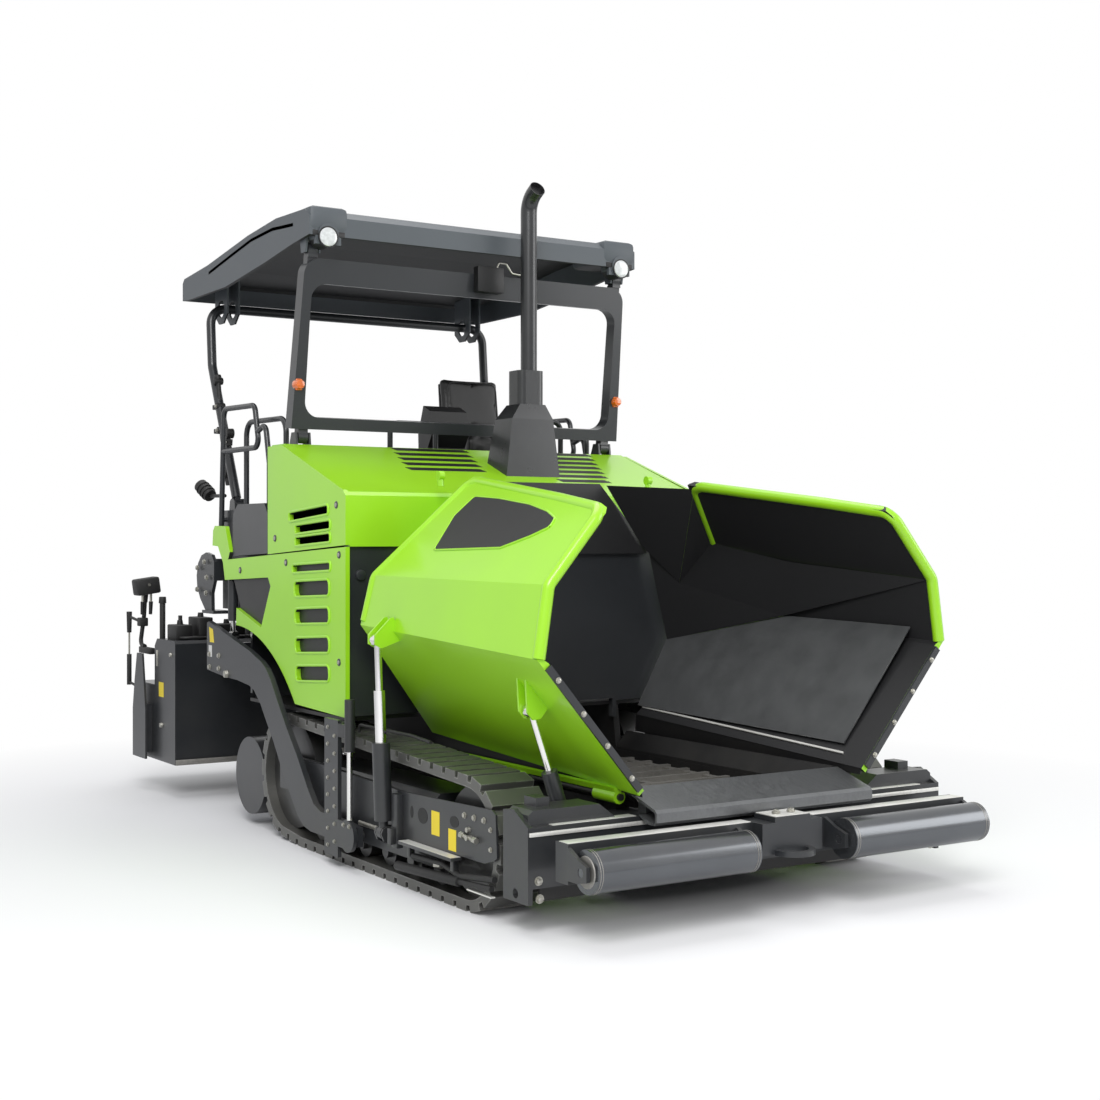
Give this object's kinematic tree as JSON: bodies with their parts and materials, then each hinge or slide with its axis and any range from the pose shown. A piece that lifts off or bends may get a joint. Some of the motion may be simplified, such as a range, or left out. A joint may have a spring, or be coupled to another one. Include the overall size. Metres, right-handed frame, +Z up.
{
  "type": "tracked asphalt paver",
  "caption": "Tracked asphalt paver with a folding front hopper, operator deck under a canopy, spreading augers and a rear screed that lifts and widens.",
  "frame": {"origin": "on the ground under the middle of the machine's bounding box", "axes": "+Z up, +Y from the hopper at the front to the screed at the rear, +X to the left side of the machine as its operator sits facing the hopper"},
  "size_m": [2.67, 6, 3.9289],
  "materials": {
    "paint_green": "gloss",
    "paint_grey": "satin",
    "paint_black": "satin",
    "worn_steel": "worn",
    "track_steel": "matt",
    "rod_chrome": "polished",
    "roof_shell": "matt",
    "seat_cover": "matt"
  },
  "bodies": {
    "chassis": {"track_left": "track_steel", "track_right": "track_steel", "track_wheels": "track_steel", "track_frames": "paint_grey", "main_frame": "paint_black", "belly_plate": "paint_black", "engine_floor": "paint_black", "mesh_panels": "paint_black", "hopper_floor": "paint_black", "levelling_rams": "paint_grey", "conveyor": "worn_steel", "front_bumper": "paint_grey", "apron": "worn_steel", "hopper_wall": "paint_grey", "engine_block": "paint_black", "hood": "paint_green", "side_panels": "paint_green", "upper_panels": "paint_green", "side_boxes": "paint_grey", "platform": "paint_grey", "exhaust_stack": "paint_grey", "exhaust_guard": "paint_grey", "seat_base": "paint_black", "seat": "seat_cover", "console": "paint_black", "handrails": "paint_grey", "tow_guides": "paint_grey", "lift_brackets": "paint_grey", "auger_frame": "paint_grey", "canopy_brackets": "paint_grey"},
    "push_bar": {"push_bar": "paint_grey"},
    "roller_left": {"roller_left": "paint_grey"},
    "roller_right": {"roller_right": "paint_grey"},
    "wing_left": {"wing_left": "paint_green", "flap_left": "paint_black"},
    "wing_right": {"wing_right": "paint_green", "flap_right": "paint_black"},
    "screed": {"tow_arms": "paint_grey", "screed": "paint_grey"},
    "extension_left": {"extension_left": "paint_grey", "end_gate_left": "paint_grey"},
    "extension_right": {"extension_right": "paint_grey", "end_gate_right": "paint_grey"},
    "auger_left": {"auger_left": "worn_steel"},
    "auger_right": {"auger_right": "worn_steel"},
    "front_hoop": {"front_hoop": "paint_grey"},
    "roof": {"roof": "roof_shell"},
    "rear_frame": {"rear_frame": "paint_grey"},
    "front_barrel_left": {"front_barrel_left": "paint_grey"},
    "front_rod_left": {"front_rod_left": "rod_chrome"},
    "rear_barrel_left": {"rear_barrel_left": "rod_chrome"},
    "rear_rod_left": {"rear_rod_left": "rod_chrome"},
    "lift_barrel_left": {"lift_barrel_left": "paint_grey"},
    "lift_rod_left": {"lift_rod_left": "rod_chrome"},
    "front_barrel_right": {"front_barrel_right": "paint_grey"},
    "front_rod_right": {"front_rod_right": "rod_chrome"},
    "rear_barrel_right": {"rear_barrel_right": "rod_chrome"},
    "rear_rod_right": {"rear_rod_right": "rod_chrome"},
    "lift_barrel_right": {"lift_barrel_right": "paint_grey"},
    "lift_rod_right": {"lift_rod_right": "rod_chrome"}
  },
  "joints": [
    {"name": "push_bar_yaw", "type": "hinge", "parent": "chassis", "child": "push_bar", "pos_m": [0, -2.645, 0.36], "axis": [0, 0, 1], "range_deg": [-4, 4]},
    {"name": "roller_left_spin", "type": "hinge", "parent": "push_bar", "child": "roller_left", "pos_m": [0.725, -2.905, 0.34], "axis": [1, 0, 0], "continuous": true},
    {"name": "wing_left_swing", "type": "hinge", "parent": "chassis", "child": "wing_left", "pos_m": [0.68, -1.645, 0.556], "axis": [0, 1, 0], "range_deg": [0, 22]},
    {"name": "front_ram_left_tilt", "type": "hinge", "parent": "chassis", "child": "front_barrel_left", "pos_m": [0.865, -2.32, 0.35], "axis": [0, 1, 0], "range_deg": [-0.5, 18.85]},
    {"name": "front_ram_left_stroke", "type": "slide", "parent": "front_barrel_left", "child": "front_rod_left", "axis": [0.3231, 0, 0.9463], "range_m": [-0.1, 0.002]},
    {"name": "rear_ram_left_tilt", "type": "hinge", "parent": "chassis", "child": "rear_barrel_left", "pos_m": [1.265, -1.215, 0.262], "axis": [0, 1, 0], "range_deg": [-0.5, 17.62]},
    {"name": "rear_ram_left_stroke", "type": "slide", "parent": "rear_barrel_left", "child": "rear_rod_left", "axis": [0.0359, 0, 0.9994], "range_m": [-0.239, 0.002]},
    {"name": "roller_right_spin", "type": "hinge", "parent": "push_bar", "child": "roller_right", "pos_m": [-0.725, -2.905, 0.34], "axis": [1, 0, 0], "continuous": true},
    {"name": "wing_right_swing", "type": "hinge", "parent": "chassis", "child": "wing_right", "pos_m": [-0.68, -1.645, 0.556], "axis": [0, -1, 0], "range_deg": [0, 22]},
    {"name": "front_ram_right_tilt", "type": "hinge", "parent": "chassis", "child": "front_barrel_right", "pos_m": [-0.865, -2.32, 0.35], "axis": [0, -1, 0], "range_deg": [-0.5, 18.85]},
    {"name": "front_ram_right_stroke", "type": "slide", "parent": "front_barrel_right", "child": "front_rod_right", "axis": [-0.3231, 0, 0.9463], "range_m": [-0.1, 0.002]},
    {"name": "rear_ram_right_tilt", "type": "hinge", "parent": "chassis", "child": "rear_barrel_right", "pos_m": [-1.265, -1.215, 0.262], "axis": [0, -1, 0], "range_deg": [-0.5, 17.62]},
    {"name": "rear_ram_right_stroke", "type": "slide", "parent": "rear_barrel_right", "child": "rear_rod_right", "axis": [-0.0359, 0, 0.9994], "range_m": [-0.239, 0.002]},
    {"name": "screed_lift", "type": "hinge", "parent": "chassis", "child": "screed", "pos_m": [0, -0.875, 0.19], "axis": [1, 0, 0], "range_deg": [-3.5, 1.5]},
    {"name": "lift_ram_left_tilt", "type": "hinge", "parent": "chassis", "child": "lift_barrel_left", "pos_m": [1.157, 1.105, 1.5], "axis": [1, 0, 0], "range_deg": [-3.54, 7.6]},
    {"name": "lift_ram_left_stroke", "type": "slide", "parent": "lift_barrel_left", "child": "lift_rod_left", "axis": [0, 0, -1], "range_m": [-0.0541, 0.1236]},
    {"name": "extension_left_slide", "type": "slide", "parent": "screed", "child": "extension_left", "axis": [1, 0, 0], "range_m": [0, 1.1]},
    {"name": "auger_left_spin", "type": "hinge", "parent": "chassis", "child": "auger_left", "pos_m": [0.6, 0.785, 0.3], "axis": [1, 0, 0], "continuous": true},
    {"name": "lift_ram_right_tilt", "type": "hinge", "parent": "chassis", "child": "lift_barrel_right", "pos_m": [-1.157, 1.105, 1.5], "axis": [1, 0, 0], "range_deg": [-3.54, 7.6]},
    {"name": "lift_ram_right_stroke", "type": "slide", "parent": "lift_barrel_right", "child": "lift_rod_right", "axis": [0, 0, -1], "range_m": [-0.0541, 0.1236]},
    {"name": "extension_right_slide", "type": "slide", "parent": "screed", "child": "extension_right", "axis": [-1, 0, 0], "range_m": [0, 1.1]},
    {"name": "auger_right_spin", "type": "hinge", "parent": "chassis", "child": "auger_right", "pos_m": [-0.6, 0.785, 0.3], "axis": [1, 0, 0], "continuous": true},
    {"name": "canopy_fold", "type": "hinge", "parent": "chassis", "child": "front_hoop", "pos_m": [0, 0.255, 2.345], "axis": [-1, 0, 0], "range_deg": [0, 50]},
    {"name": "roof_tilt", "type": "hinge", "parent": "front_hoop", "child": "roof", "pos_m": [0, 0.115, 3.43], "axis": [-1, 0, 0], "range_deg": [-36, 1]},
    {"name": "rear_frame_fold", "type": "hinge", "parent": "chassis", "child": "rear_frame", "pos_m": [0, 1.305, 1.965], "axis": [-1, 0, 0], "range_deg": [-1, 44.5]}
  ],
  "couplings": [
    {"joint": "front_ram_left_tilt", "follows": "wing_left_swing", "ratio": 0.83423},
    {"joint": "front_ram_left_stroke", "follows": "wing_left_swing", "m_per_rad": -0.25512},
    {"joint": "rear_ram_left_tilt", "follows": "wing_left_swing", "ratio": 0.77824},
    {"joint": "rear_ram_left_stroke", "follows": "wing_left_swing", "m_per_rad": -0.61729},
    {"joint": "front_ram_right_tilt", "follows": "wing_right_swing", "ratio": 0.83423},
    {"joint": "front_ram_right_stroke", "follows": "wing_right_swing", "m_per_rad": -0.25512},
    {"joint": "rear_ram_right_tilt", "follows": "wing_right_swing", "ratio": 0.77824},
    {"joint": "rear_ram_right_stroke", "follows": "wing_right_swing", "m_per_rad": -0.61729},
    {"joint": "lift_ram_left_tilt", "follows": "screed_lift", "ratio": -2.0272},
    {"joint": "lift_ram_left_stroke", "follows": "screed_lift", "m_per_rad": -1.9913},
    {"joint": "lift_ram_right_tilt", "follows": "screed_lift", "ratio": -2.0272},
    {"joint": "lift_ram_right_stroke", "follows": "screed_lift", "m_per_rad": -1.9913},
    {"joint": "roof_tilt", "follows": "canopy_fold", "ratio": -0.7},
    {"joint": "rear_frame_fold", "follows": "canopy_fold", "ratio": 0.865}
  ]
}
